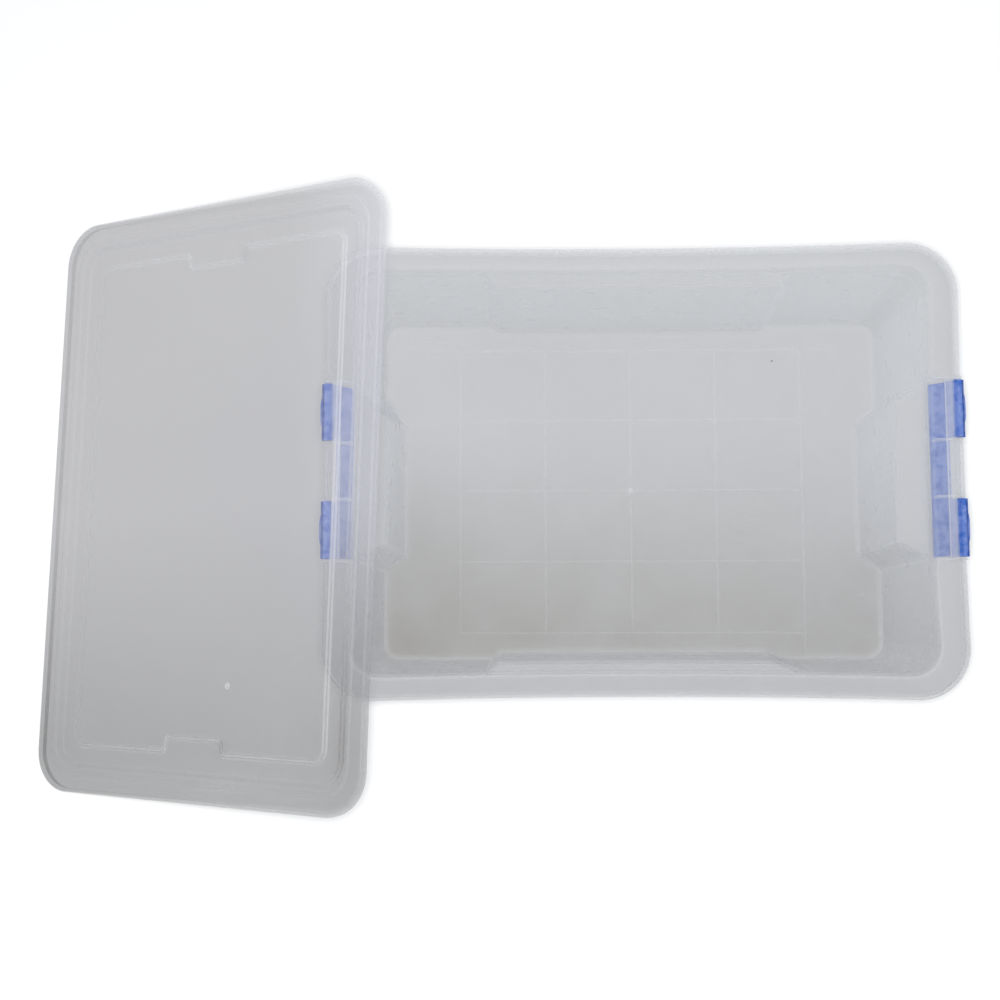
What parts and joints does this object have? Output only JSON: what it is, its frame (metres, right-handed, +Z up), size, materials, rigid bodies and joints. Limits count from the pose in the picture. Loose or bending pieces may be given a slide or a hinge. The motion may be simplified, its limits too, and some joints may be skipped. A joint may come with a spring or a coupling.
{
  "type": "fishing tackle box",
  "caption": "Shallow clear plastic box with a flanged rim, wall recesses and a gridded floor, a separate lift-off lid leaning on it, and a folding blue latch at each end.",
  "frame": {"origin": "middle of the tub's base, on the surface that it stands on", "axes": "+X along the tub's long side, from the leaning lid towards the free end; +Z up"},
  "size_m": [0.6171, 0.4047, 0.1478],
  "materials": {
    "clear_plastic": "translucent milky polypropylene, slightly frosted and scratched from use",
    "blue_plastic": "satin mid-blue polypropylene"
  },
  "bodies": {
    "tub": {"tub": "clear_plastic"},
    "lid": {"lid": "clear_plastic"},
    "latch_right": {"latch_right": "blue_plastic"},
    "latch_left": {"latch_left": "blue_plastic"}
  },
  "joints": [
    {"name": "latch_right_swing", "type": "hinge", "parent": "tub", "child": "latch_right", "pos_m": [0.1993, 0, 0.1162], "axis": [0, -1, 0], "range_deg": [0, 222]},
    {"name": "latch_left_swing", "type": "hinge", "parent": "tub", "child": "latch_left", "pos_m": [-0.1993, 0, 0.1162], "axis": [0, 1, 0], "range_deg": [0, 110]},
    {"name": "lid_lift", "type": "slide", "parent": "tub", "child": "lid", "axis": [0, 0, 1], "range_m": [0, 0.25]}
  ]
}
